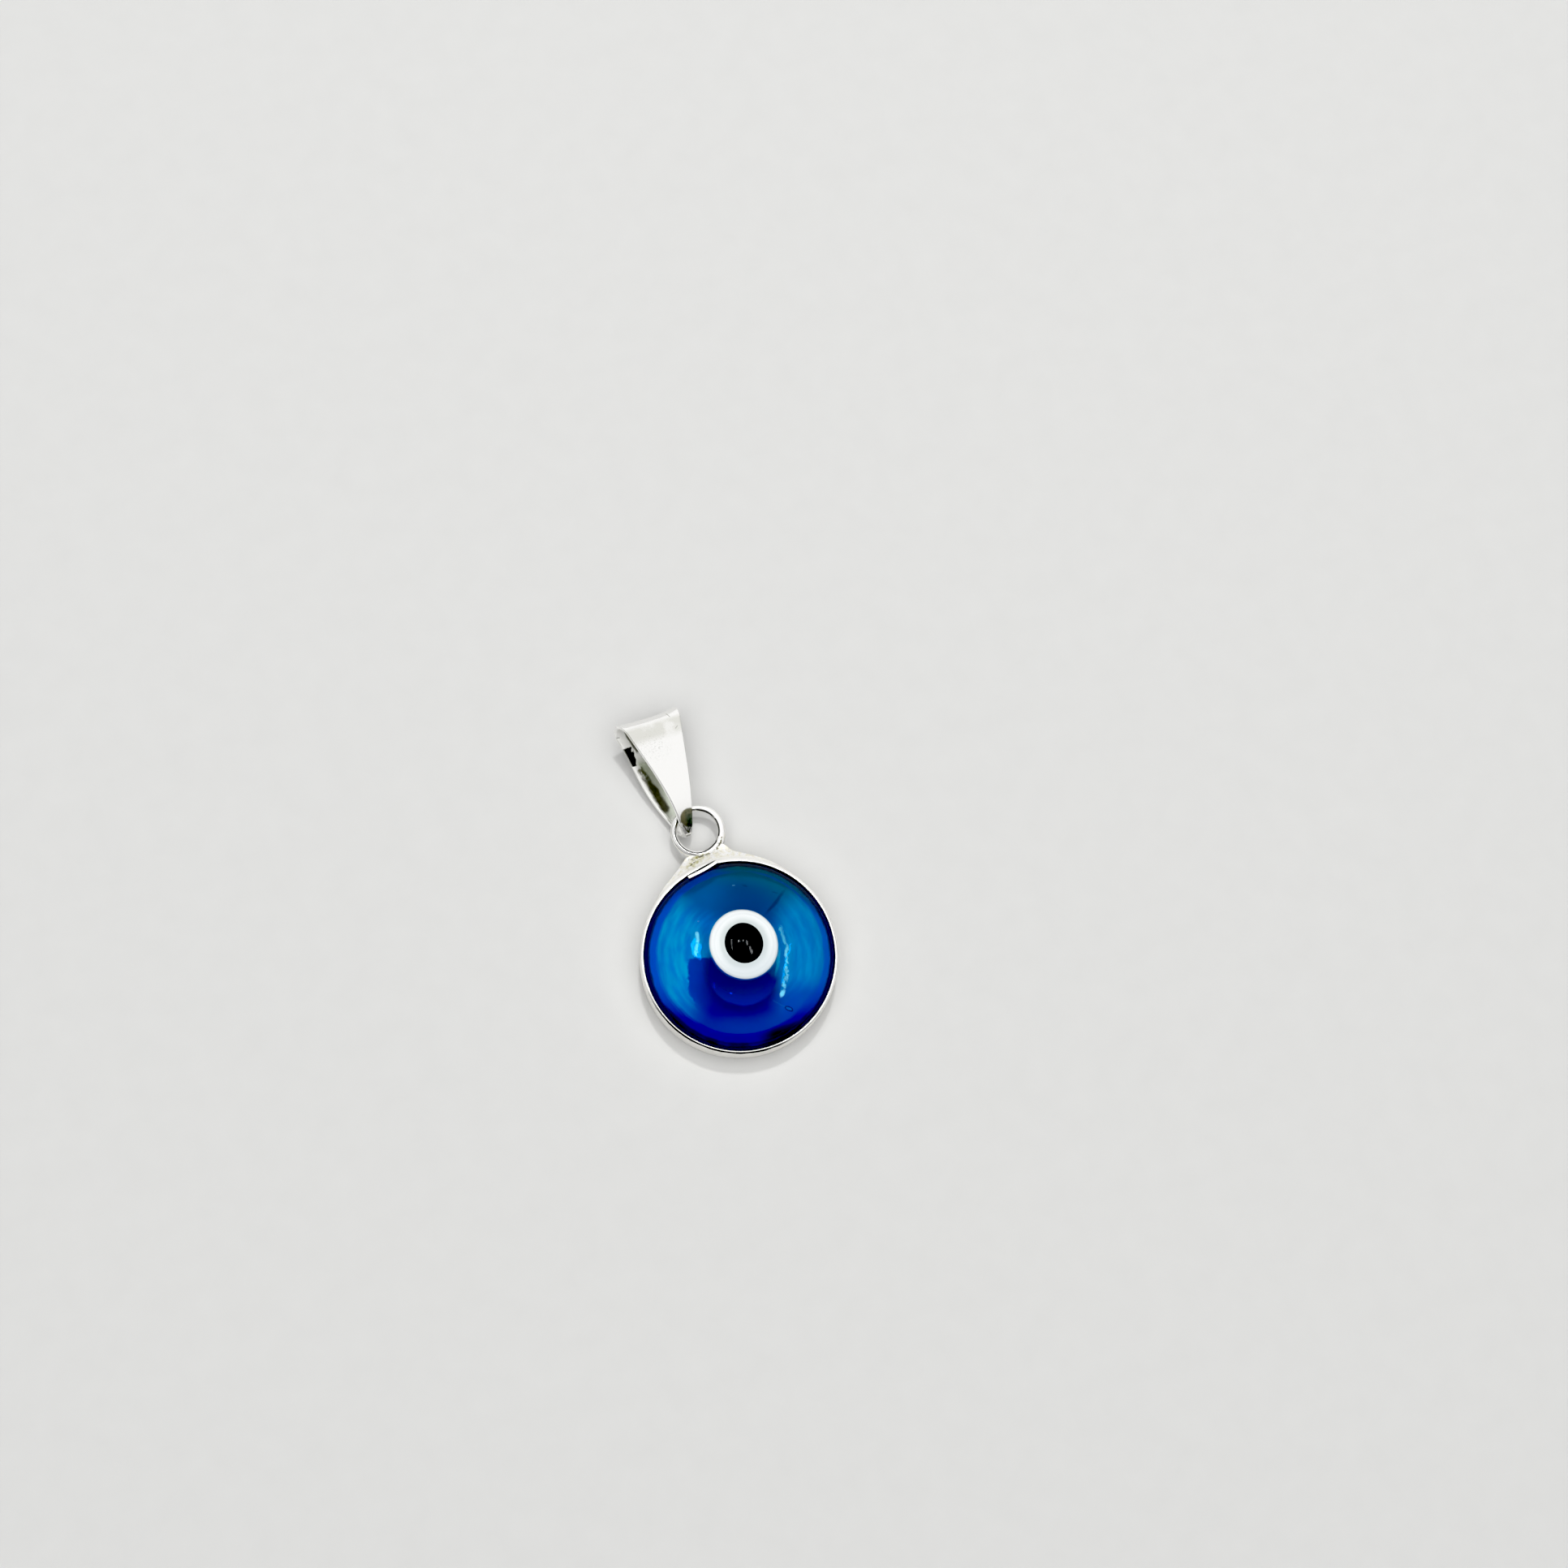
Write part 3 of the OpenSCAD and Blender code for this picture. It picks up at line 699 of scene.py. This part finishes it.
def blue_glass():
    """Cobalt glass, clear and uneven in colour. The volume is a light blue, and the skin of the glass holds
    the deeper blues. Much of its pattern is painted light and shade: the lighter patches, the deep shade and
    the eye's shadow below the eye, the dark edge and the highlights. u is a spot's place to the picture's
    right, and v towards its top, in millimetres. The back carries the same pattern, moved to where the dome
    shows it."""
    r = material("cobalt_glass")
    spot = r.place(shift=(0, -DISC_Y, 0), turn=(0, 0, PICTURE_TURN))
    u, v, z = r.parts(spot)
    back = z.step(1.2, 0.8)
    u, v = u * (1 + back * 0.06) - back * 0.12, v * (1 + back * 0.06) - back * 0.36
    # The edges of the colours wander a little
    u = u + (r.speckle(spot, 0.9, 3.0) - 0.5) * 0.22
    v = v + (r.speckle(r.place(shift=(3, 5, 1)), 0.9, 3.0) - 0.5) * 0.22
    in_bubble = r.oval(u, v, BUBBLE_AT, (0.2, 0.08), 0.5, BUBBLE_TURN)
    tint = glass_below_eye(r, spot, u, v, glass_blues(r, u, v))
    tint = glass_edge(r, u, v, back, tint)
    tint = glass_faults(r, u, v, back, in_bubble, tint)
    tint, painted_glow = glass_bead_highlights(r, spot, u, v, back, in_bubble, tint)
    hollows = r.bump(r.speckle(spot, 2.2, 1.0) * back, 1.0, 0.001)
    # The beads and spots give a weak painted glow of their own
    glass = r.shader(Base_Color=tint, Roughness=0.0, IOR=1.5, Transmission_Weight=1.0, Normal=hollows,
                     Emission_Color=painted_glow, Emission_Strength=0.5)
    # Lamps light what lies under the glass, through the light blue of the volume
    clear = r.node("ShaderNodeBsdfTransparent").outputs[0]
    lamp_ray = r.value("ShaderNodeLightPath", output="Is Shadow Ray")
    both = r.node("ShaderNodeMixShader", None, {0: lamp_ray, 1: glass, 2: clear})
    absorb = r.node("ShaderNodeVolumeAbsorption", None,
                    {"Color": (0.672, 0.97, 0.995, 1.0), "Density": 1 / MM})
    r.node("ShaderNodeOutputMaterial", None, {"Surface": both.outputs[0], "Volume": absorb.outputs[0]})
    return r


def white_glass():
    """White glass with faint rings round the pupil, a greyer rim and painted shade on its lower side."""
    r = material("white_glass")
    spot = r.place(shift=(-EYE_X, -DISC_Y - EYE_Y, 0), turn=(0, 0, PICTURE_TURN))
    x, y, _ = r.parts(spot)
    # The rings are longer than wide, much as the drop is
    x, y = x / WHITE_GROW[0], (y - 0.05) / 1.05
    cloud = r.speckle(spot, 1.2, 3.0)
    radius = (x * x + y * y) ** 0.5 + (cloud - 0.5) * 0.12
    colour = r.mix(radius.step(1.78, 1.36) * 0.85, (0.83, 0.86, 0.87), (0.54, 0.60, 0.60))
    colour = r.mix(radius.step(2.02, 2.27) * 0.7, colour, (0.66, 0.74, 0.79))
    colour = r.mix(radius.step(1.98, 1.90) * radius.step(1.78, 1.86) * 0.3, colour, (0.66, 0.71, 0.72))
    swirl = (radius * 22 + cloud * 5).maths("SINE") * 0.5 + 0.5
    colour = r.mix(swirl * 0.14 + cloud * 0.1, colour, (0.70, 0.75, 0.75))
    # Painted shade: darker towards the lower side
    colour = r.mix((y - x * 0.3).step(0.5, -2.2) * 0.6, colour, (0.56, 0.63, 0.67))
    r.finish(Base_Color=colour, Roughness=0.14, IOR=1.5, Subsurface_Weight=0.1,
             Subsurface_Radius=(0.4, 0.4, 0.4), Subsurface_Scale=0.6 * MM, Coat_Weight=0.3,
             Coat_Roughness=0.03, Normal=r.bump(swirl, 0.12, 0.02))
    return r


def black_glass():
    """Nearly black glass, a little cloudy."""
    r = material("black_glass")
    spot = r.place(shift=(-EYE_X, -DISC_Y - EYE_Y, 0))
    cloud = r.speckle(spot, 2.0, 3.0)
    colour = r.mix(cloud, (0.003, 0.005, 0.006), (0.009, 0.012, 0.013))
    r.finish(Base_Color=colour, Roughness=0.06, IOR=1.5, Specular_IOR_Level=0.2,
             Normal=r.bump(cloud, 0.06, 0.03))
    return r


def foot_grime(r, spot, x, y, z):
    """Grime where the ring's foot sinks into the solder."""
    uneven_y = y + (r.speckle(spot, 2.2, 4.0, 0.65) - 0.5) * 0.25
    foot = (r.stroke(x, uneven_y, (-1.12, 7.25), (-0.80, 7.10), 0.10)
            + r.stroke(x, uneven_y, (-0.85, 7.15), (0.45, 7.18), 0.09))
    right_foot = (r.stroke(x, uneven_y, (0.92, 7.3), (1.28, 7.66), 0.09)
                  + r.stroke(x, uneven_y, (1.28, 7.66), (1.46, 8.0), 0.07))
    blotch = r.speckle(spot, 5.0, 4.0, 0.65)
    foot = foot.clamped() * blotch.step(0.44, 0.58) + right_foot * blotch.step(0.36, 0.5)
    return foot.clamped() * z.step(1.0, 1.15)


def ring_dark_reflections(r, spot, x, z, ring_off):
    """Painted dark reflections in lines along the jump ring. ring_off is a spot's distance from the ring's
    middle.
    """
    broken = r.speckle(spot, 1.9, 3.0).step(0.30, 0.44)
    line_at = 1.52 - (x - RING_X).step(-0.6, 0.8) * 0.1
    ring_line = ((ring_off - line_at).size().step(0.06, 0.03) * z.step(1.2, 1.25) * broken
                 * ring_off.step(1.85, 1.75))
    left_line = ((ring_off - 1.63).size().step(0.04, 0.015) * (x - RING_X).step(-0.3, -0.9)
                 * z.step(1.15, 1.2) * (1 - broken * 0.6))
    return ring_line + left_line


def lip_shade_and_reflection(r, spot, x, y, z, radius):
    """Painted shadow in the slit behind the strip's loose end, painted shade in the dark seam between the lip
    and the glass, and a broken painted dark reflection along the lip below."""
    off_tab = (y - 6.32) * 0.98 - (x - 0.55) * 0.199
    slit = (off_tab.step(0.08, 0.11) * off_tab.step(0.235, 0.2) * x.step(-1.75, -1.6) * x.step(0.6, 0.3)
            * z.step(2.32, 2.26) * z.step(1.9, 2.0))
    seam = radius.step(6.315, 6.275) * z.step(1.9, 2.0) * z.step(2.25, 2.2)
    below = (x * -0.56 + y * -0.83).step(3.2, 5.6) * x.step(2.4, 0.5)
    wide = r.speckle(spot, 1.1, 2.0)
    lip_line = radius.step(6.335, 6.36) * (radius - wide * 0.10).step(6.43, 6.38) * z.step(1.85, 1.95)
    dark_reflection = lip_line * below * r.speckle(spot, 2.4, 3.0).step(0.26, 0.40)
    return slit + dark_reflection * 0.95 + seam * 0.92


def bezel_silver():
    """Silver, polished on the lip and the ring and dull on the wall and the grainy solder."""
    r = material("bezel_silver")
    spot = r.place(shift=(0, -DISC_Y, 0))
    x, y, z = r.parts(spot)
    radius = (x * x + y * y) ** 0.5
    ring_off = ((x - RING_X) ** 2.0 + (y - RING_Y) ** 2.0) ** 0.5
    solder = radius.step(6.58, 6.76) * ring_off.step(1.70, 1.85)
    wall = radius.step(6.40, 6.48) * radius.step(6.74, 6.60)
    grain = r.speckle(spot, 9, 5.0, 0.7)
    patch = r.speckle(spot, 1.4, 3.0)
    colour = r.mix(grain, (0.97, 0.965, 0.95), (0.92, 0.915, 0.90))
    colour = r.mix(wall * (0.5 + patch * 0.5), colour, (0.93, 0.915, 0.87))
    warm = r.speckle(spot, 3.2, 4.0, 0.65).step(0.42, 0.6)
    colour = r.mix(solder * warm * 0.8, colour, (0.84, 0.81, 0.68))
    pits = solder * r.speckle(spot, 10, 3.0, 0.65).step(0.58, 0.70)
    colour = r.mix(pits * 0.65, colour, (0.34, 0.33, 0.22))
    stain = r.speckle(spot, 4.5, 4.0, 0.6).step(0.42, 0.62)
    olive = (r.oval(x, y, (-0.8, 6.9), (0.70, 0.30), 1.0, 28.0)
             + r.oval(x, y, (0.1, 7.15), (0.7, 0.16), 1.0, -4.0) * 0.7) * stain
    colour = r.mix(olive * 0.8, colour, (0.50, 0.47, 0.20))
    colour = r.mix(foot_grime(r, spot, x, y, z) * 0.9, colour, (0.16, 0.15, 0.07))
    dash = (r.stroke(x + (grain - 0.5) * 0.2, y, (-1.15, 6.72), (-0.62, 7.0), 0.045)
            * z.step(1.2, 1.4) * stain)
    # Dark marks: the stain's dash, painted dark reflections along the ring, and painted shade and reflection
    # at the lip
    dark = (dash + ring_dark_reflections(r, spot, x, z, ring_off)) * 0.9 + lip_shade_and_reflection(r, spot, x, y, z, radius)
    colour = r.mix(dark.clamped(), colour, (0.015, 0.017, 0.012))
    rough = 0.1 + solder * 0.32 + wall * 0.3 + grain * 0.08
    uneven = r.bump(patch, 0.2, 0.1)
    # Solder and the outside of the strip are dull, as if pickled white
    r.finish(Base_Color=colour, Metallic=1 - solder * 0.65 - wall * 0.5, Roughness=rough,
             Normal=r.bump(grain * (0.12 + solder * 1.4), 0.6, 0.035, uneven))
    return r


def bail_scuffs(r, x, s):
    """Fine scuffs on the upper left of the front, and a few dark ticks."""
    scratched = r.speckle(r.place(turn=(0, 0, 35), stretch=(0.7, 1.2, 1.0)), 11, 4.0, 0.7).step(0.53, 0.70)
    scuffs = r.oval(x, s, (-0.5, 6.45), (1.05, 0.95), 1.1) * scratched
    ticks = r.stroke(x, s, (1.3, 8.25), (1.36, 8.0), 0.04) + r.stroke(x, s, (1.6, 7.25), (1.4, 7.12), 0.03)
    return (scuffs * 0.45 + ticks * 0.7).clamped()


def bail_corner_reflection(r, spot, x, s, mottle):
    """The dark corner of the tip, a painted dark reflection, with painted shadows in the folds beside it:
    where they are, and their shades.
    """
    uneven_x = x + (r.speckle(spot, 3.0, 3.0) - 0.5) * 0.25
    facet_reflection = r.oval(uneven_x, s, (0.26, 1.20), (0.70, 0.60), 0.22, -12.0)
    fold_shadows = (r.stroke(uneven_x, s, (-0.30, 0.80), (0.02, 0.28), 0.07)
             + r.stroke(uneven_x, s, (0.30, 0.66), (0.05, 0.26), 0.06)
             + r.oval(x, s, (0.05, 0.50), (0.12, 0.16), 0.8) * 0.7)
    shades = r.mix(mottle.step(0.35, 0.65), (0.02, 0.04, 0.025), (0.12, 0.15, 0.10))
    shades = r.mix(s.step(1.2, 1.6) * mottle.step(0.3, 0.5) * 0.8, shades, (0.20, 0.19, 0.12))
    shades = r.mix(uneven_x.step(0.15, -0.15) * 0.8, shades, (0.22, 0.20, 0.11))
    return (facet_reflection * 0.96 + fold_shadows * 0.75).clamped(), shades


def bail_inner_reflections(r, spot, x, s, cloud, mottle):
    """The inner face, with painted dark reflections in a block near the fold and in a streak down to the tip:
    its colour, and where it shows a painted greenish reflection."""
    wander = x + (r.speckle(spot, 2.5, 3.0) - 0.5) * 0.3
    wander_s = s + (r.speckle(r.place(shift=(4, 1, 0)), 2.5, 4.0, 0.6) - 0.5) * 0.5
    dark_reflection_block = (wander.step(-2.2, -2.1) * wander.step(-1.20, -1.30)
             * wander_s.step(5.62, 5.70) * wander_s.step(7.02, 6.94))
    # A small painted gleam in the block
    painted_gleam = r.oval(wander, wander_s, (-1.30, 6.70), (0.16, 0.07), 0.6, 60.0)
    dense = (s.step(5.5, 4.2) + mottle.step(0.42, 0.58)).clamped()
    painted_streak = (r.stroke(wander, s, (-1.12, 5.3), (-0.64, 3.69), 0.37)
              + r.stroke(wander, s, (-0.64, 3.69), (-0.40, 2.35), 0.43)) * cloud.step(0.25, 0.45) * dense
    # Right of the streak the metal mirrors, with a painted greenish reflection; left of it it is dull and
    # white
    green_reflection = (wander + s * 0.16).step(-0.42, -0.12) * s.step(1.0, 2.0) * s.step(6.3, 5.4)
    inner = r.mix(green_reflection * 0.75, (0.96, 0.955, 0.93), (0.52, 0.57, 0.46))
    inner = r.mix(painted_streak.clamped() * (0.6 + mottle * 0.6).clamped(), inner,
                  r.mix(mottle.step(0.4, 0.65), (0.05, 0.047, 0.028), (0.17, 0.17, 0.115)))
    inner = r.mix(dark_reflection_block * (1 - painted_gleam), inner, (0.02, 0.022, 0.014))
    # Painted shadow in the dark wedge under the fold, and a tick on the fold's left edge
    painted_shade = (((x + wander) * 0.5 + (s - 7.9) * 0.33 + 1.50).step(-0.05, 0.05)
             * wander_s.step(6.35, 6.6) * s.step(8.15, 7.9))
    inner = r.mix(painted_shade * 0.88, inner, r.mix(mottle, (0.03, 0.035, 0.02), (0.16, 0.16, 0.10)))
    inner = r.mix(r.stroke(x, s, (-2.12, 7.80), (-1.93, 7.76), 0.03) * 0.8, inner, (0.05, 0.05, 0.04))
    return inner, green_reflection


def bail_silver():
    """Bright silver with scuffs and a painted grey shade at the fold, a painted dark reflection in the corner
    of its tip, and painted reflections inside. x runs across the sheet, s from the tip to the fold and h from
    the back sheet to the front one."""
    r = material("bail_silver")
    home = bail_place().inverted()
    spot = r.place(shift=-bail_place().translation, turn=[math.degrees(a) for a in home.to_euler("XYZ")])
    x, s, h = r.parts(spot)
    grain = r.speckle(spot, 8, 5.0, 0.65)
    cloud = r.speckle(spot, 0.9, 3.0)
    mottle = r.speckle(spot, 3.5, 4.0, 0.6)
    front = h.step(0.0, 0.2)
    colour = r.mix(grain, (0.975, 0.97, 0.955), (0.94, 0.935, 0.915))
    # Painted shade in a grey band below the fold
    fold_shade = s.step(6.5, 7.2) * s.step(8.1, 7.75) * (0.35 + cloud.step(0.35, 0.55) * 0.65)
    colour = r.mix(fold_shade * 0.55, colour, (0.64, 0.64, 0.57))
    colour = r.mix(bail_scuffs(r, x, s) * front, colour, (0.36, 0.37, 0.32))
    # Painted dark reflection in the corner of the tip, with painted shadows in its folds
    corner_reflection, shades = bail_corner_reflection(r, spot, x, s, mottle)
    colour = r.mix(corner_reflection * front, colour, shades)
    inner, green_reflection = bail_inner_reflections(r, spot, x, s, cloud, mottle)
    inside = r.value("ShaderNodeAttribute", {"attribute_name": "inside"}, output="Fac")
    back_inside = inside * (1 - front)
    colour = r.mix(back_inside, colour, inner)
    dull = back_inside * (1 - green_reflection) * s.step(1.0, 2.0)
    rough = 0.14 + grain * 0.1 + fold_shade * 0.12 + dull * 0.3
    r.finish(Base_Color=colour, Metallic=1 - dull * 0.7, Roughness=rough,
             Normal=r.bump(grain, 0.1, 0.012, r.bump(cloud, 0.12, 0.08)))
    return r


make_glass(blue_glass())
make_drop("white_drop", white_glass(), "white_dot",
          DOT_R, DOT_TOP, DOT_BOTTOM, DOT_DOME_R, DOT_EDGE_R, WHITE_GROW, WHITE_LIFT)
make_drop("pupil_drop", black_glass(), "pupil",
          PUPIL_R, PUPIL_TOP, PUPIL_BOTTOM, PUPIL_DOME_R, PUPIL_EDGE_R, PUPIL_GROW, PUPIL_LIFT)
make_bezel(bezel_silver())
make_bail(bail_silver())


# Studio
FLOOR_R, FLOOR_DROP = 900.0, 0.02
LAMP_DISTANCE, CEILING = 400.0, 500.0
BLACK_LEVEL = 0.043


def make_floor():
    """A round pale board, a hair below the pendant."""
    bm = bmesh.new()
    bmesh.ops.create_circle(bm, cap_ends=True, segments=96, radius=FLOOR_R)
    bmesh.ops.translate(bm, vec=(0, 0, -FLOOR_DROP), verts=bm.verts)
    bmesh.ops.scale(bm, vec=(MM, MM, MM), verts=bm.verts)
    mesh = bpy.data.meshes.new("floor")
    bm.to_mesh(mesh)
    bm.free()
    floor = bpy.data.objects.new("floor", mesh)
    bpy.context.scene.collection.objects.link(floor)
    r = material("pale_board")
    tooth = r.speckle(r.place(), 0.5, 4.0)
    r.finish(Base_Color=r.mix(tooth, (0.62, 0.62, 0.61), (0.65, 0.65, 0.64)), Roughness=0.75)
    mesh.materials.append(r.owner)


def lean(right, top):
    """How far a way from straight above leans on the flat, to the picture's right and top in degrees."""
    return FLAT_RIGHT * math.tan(math.radians(right)) + FLAT_UP * math.tan(math.radians(top))


def lamp(name, right, top, size, radiance, shines=True):
    """A flat lamp that leans from straight above to the picture's right and top.
    Where shines is False, it only lights the scene and isn't seen in glass or silver."""
    way = (lean(right, top) + Vector((0, 0, 1))).normalized()
    light = bpy.data.lights.new(name, "AREA")
    light.shape = "RECTANGLE"
    light.size, light.size_y = size[0] * MM, size[1] * MM
    light.energy = radiance * size[0] * size[1] * MM * MM * math.pi
    made = bpy.data.objects.new(name, light)
    bpy.context.scene.collection.objects.link(made)
    target = Vector((0, DISC_Y, 1.5))
    aim(made, target + way * LAMP_DISTANCE, target, FLAT_UP)
    made.visible_camera = False
    made.visible_glossy = made.visible_transmission = shines


def soft_light(right, top, strength):
    """Even light from a wide patch of the ceiling, which isn't seen in glass or silver."""
    light = bpy.data.lights.new("soft_light", "SUN")
    light.angle, light.energy = math.radians(85), strength
    made = bpy.data.objects.new("soft_light", light)
    bpy.context.scene.collection.objects.link(made)
    aim(made, (0, 0, CEILING), -CEILING * lean(right, top), FLAT_UP)
    made.visible_glossy = made.visible_transmission = False


def make_surroundings():
    """A white studio for the silver and the glass to mirror: bright all round, with a dark line low down, and
    dim towards the picture's bottom, where the camera's stand is. Only the lamps light the floor."""
    world = bpy.data.worlds.new("studio")
    bpy.context.scene.world = world
    r = Recipe(world)
    way = r.node("ShaderNodeTexCoord").outputs["Generated"]
    x, y, z = r.parts(way)
    down = x * -FLAT_UP.x + y * -FLAT_UP.y
    dim = down.step(0.15, 0.5) * z.step(0.0, 0.06) * 0.6
    low = z.step(0.42, 0.22) * z.step(-0.02, 0.04) * down.step(-0.75, -0.35) * 0.75
    light = (1 - dim) * (1 - low)
    camera_ray = r.value("ShaderNodeLightPath", output="Is Camera Ray")
    shown = light * (1 - camera_ray) + camera_ray * 0.8
    sky = r.node("ShaderNodeBackground", None, {"Color": (1.0, 1.0, 1.0, 1.0), "Strength": shown})
    r.node("ShaderNodeOutputWorld", None, {"Surface": sky.outputs[0]})
    world.cycles_visibility.diffuse = False


make_floor()
make_surroundings()
soft_light(0, -10, 2.85)
lamp("top_lamp", 1, 26, (26, 26), 200.0, shines=False)
lamp("right_strip", 10.5, 8, (8, 34), 15.0)
lamp("left_strip", -5.5, 11.5, (6, 60), 12.0)
lamp("small_left", -0.2, 14.5, (7, 12), 48.0)
lamp("small_middle", 4.0, 15.1, (6, 6), 32.0)
lamp("small_right", 7.6, 13.4, (5, 26), 20.0)

scene = bpy.context.scene
scene.view_settings.view_transform = "Standard"
scene.view_settings.look = "None"
# The photograph's blacks are deep: what mirrors faintly in the glass is taken off
scene.view_settings.use_curve_mapping = True
scene.view_settings.curve_mapping.black_level = (BLACK_LEVEL,) * 3
scene.cycles.sample_clamp_indirect = 40.0
